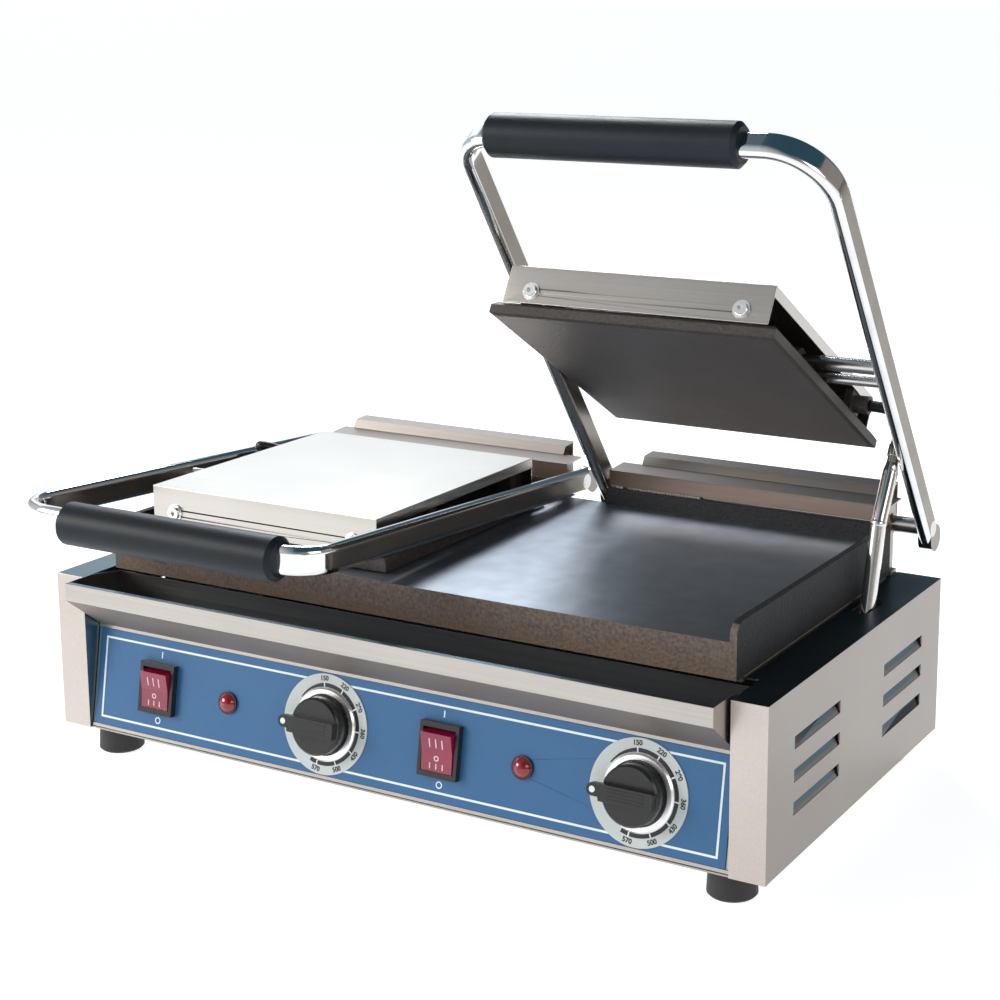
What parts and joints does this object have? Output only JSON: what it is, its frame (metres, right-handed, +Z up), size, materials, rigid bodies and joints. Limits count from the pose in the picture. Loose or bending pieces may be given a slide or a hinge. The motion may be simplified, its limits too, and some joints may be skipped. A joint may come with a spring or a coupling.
{
  "type": "panini press",
  "caption": "Countertop double contact grill: one louvered steel cabinet with a wide lower griddle, and independent heads hung from lift-up tube levers.",
  "frame": {"origin": "middle of the footprint over everything, front grip to rear guards, on the plane the feet stand on", "axes": "+X to the right when facing the front, -Y out of the control panel towards the user, +Z up"},
  "size_m": [0.57, 0.3974, 0.4761],
  "materials": {
    "stainless": "brushed",
    "bright_steel": "polished",
    "zinc_steel": "satin",
    "panel_blue": "satin",
    "cast_iron": "rough, seasoned",
    "head_iron": "machined, seasoned",
    "guard_steel": "satin",
    "black_plastic": "moulded",
    "grip_rubber": "moulded",
    "foot_rubber": "moulded",
    "red_rocker": "translucent",
    "red_lens": "translucent",
    "dial_print": "printed",
    "heater_sheath": "oxidised",
    "bearing_bronze": "machined",
    "seal_fibre": "woven",
    "insulation": "pressed board",
    "ceramic": "glazed",
    "cable_black": "moulded"
  },
  "bodies": {
    "cabinet": {"left_side_panel": "stainless", "right_side_panel": "stainless", "rear_panel": "stainless", "bottom_plate": "zinc_steel", "top_deck": "stainless", "front_fascia": "stainless", "control_overlay": "panel_blue", "griddle_seal": "seal_fibre", "lower_griddle": "cast_iron", "lower_elements": "heater_sheath", "element_clamps": "zinc_steel", "insulation_board": "insulation", "feet": "foot_rubber", "foot_screws": "zinc_steel", "panel_screws": "bright_steel", "switch_housings": "black_plastic", "lamp_bezels": "black_plastic", "lamp_lenses": "red_lens", "dial_scales": "dial_print", "dial_bezels": "bright_steel", "thermostats": "ceramic", "terminal_block": "ceramic", "mains_gland": "black_plastic", "hinge_brackets": "zinc_steel", "hinge_bushings": "bearing_bronze", "left_hinge_guard": "guard_steel", "right_hinge_guard": "guard_steel", "left_spring": "zinc_steel", "right_spring": "zinc_steel"},
    "left_lever": {"left_lever": "bright_steel", "left_grip": "grip_rubber", "left_hinge_shaft": "bright_steel", "left_pivot_rod": "bright_steel"},
    "left_head": {"left_head_plate": "head_iron", "left_head_cover": "stainless", "left_head_elements": "heater_sheath", "left_cover_screws": "bright_steel", "left_head_cable": "cable_black"},
    "left_conduit": {"left_conduit": "bright_steel"},
    "left_knob": {"left_knob": "black_plastic", "left_thermostat_shaft": "bright_steel"},
    "left_rocker": {"left_rocker": "red_rocker"},
    "right_lever": {"right_lever": "bright_steel", "right_grip": "grip_rubber", "right_hinge_shaft": "bright_steel", "right_pivot_rod": "bright_steel"},
    "right_head": {"right_head_plate": "head_iron", "right_head_cover": "stainless", "right_head_elements": "heater_sheath", "right_cover_screws": "bright_steel", "right_head_cable": "cable_black"},
    "right_conduit": {"right_conduit": "bright_steel"},
    "right_knob": {"right_knob": "black_plastic", "right_thermostat_shaft": "bright_steel"},
    "right_rocker": {"right_rocker": "red_rocker"},
    "drip_tray": {"drip_tray": "stainless"}
  },
  "joints": [
    {"name": "left_lever_hinge", "type": "hinge", "parent": "cabinet", "child": "left_lever", "pos_m": [-0.14325, 0.16967, 0.174], "axis": [-1, 0, 0], "range_deg": [0, 50.7]},
    {"name": "left_head_tilt", "type": "hinge", "parent": "left_lever", "child": "left_head", "pos_m": [-0.1275, 0.00598, 0.18401], "axis": [1, 0, 0], "range_deg": [0, 20.1], "deforming": ["left_head_cable"]},
    {"name": "left_conduit_pivot", "type": "hinge", "parent": "left_lever", "child": "left_conduit", "pos_m": [-0.2635, 0.09419, 0.18287], "axis": [1, 0, 0], "range_deg": [0, 38.85]},
    {"name": "right_lever_hinge", "type": "hinge", "parent": "cabinet", "child": "right_lever", "pos_m": [0.14325, 0.16967, 0.174], "axis": [-1, 0, 0], "range_deg": [-50.7, 0]},
    {"name": "right_head_tilt", "type": "hinge", "parent": "right_lever", "child": "right_head", "pos_m": [0.1275, 0.07374, 0.30701], "axis": [1, 0, 0], "range_deg": [-20.1, 0], "deforming": ["right_head_cable"]},
    {"name": "right_conduit_pivot", "type": "hinge", "parent": "right_lever", "child": "right_conduit", "pos_m": [0.2635, 0.12872, 0.23803], "axis": [1, 0, 0], "range_deg": [-38.85, 0]},
    {"name": "left_thermostat_turn", "type": "hinge", "parent": "cabinet", "child": "left_knob", "pos_m": [-0.05, -0.13205, 0.06195], "axis": [0, 0.9851, -0.1719], "range_deg": [0, 300]},
    {"name": "left_rocker_tip", "type": "hinge", "parent": "cabinet", "child": "left_rocker", "pos_m": [-0.198, -0.12269, 0.06032], "axis": [1, 0, 0], "range_deg": [-20, 0]},
    {"name": "right_thermostat_turn", "type": "hinge", "parent": "cabinet", "child": "right_knob", "pos_m": [0.1935, -0.13205, 0.06195], "axis": [0, 0.9851, -0.1719], "range_deg": [0, 300]},
    {"name": "right_rocker_tip", "type": "hinge", "parent": "cabinet", "child": "right_rocker", "pos_m": [0.0455, -0.12269, 0.06032], "axis": [1, 0, 0], "range_deg": [-20, 0]},
    {"name": "drip_tray_slide", "type": "slide", "parent": "cabinet", "child": "drip_tray", "axis": [0, -1, 0], "range_m": [0, 0.06]}
  ],
  "couplings": [
    {"joint": "left_head_tilt", "follows": "left_lever_hinge", "ratio": 0.39645},
    {"joint": "left_conduit_pivot", "follows": "left_lever_hinge", "ratio": 0.76617},
    {"joint": "right_head_tilt", "follows": "right_lever_hinge", "ratio": 0.39645},
    {"joint": "right_conduit_pivot", "follows": "right_lever_hinge", "ratio": 0.76617}
  ]
}
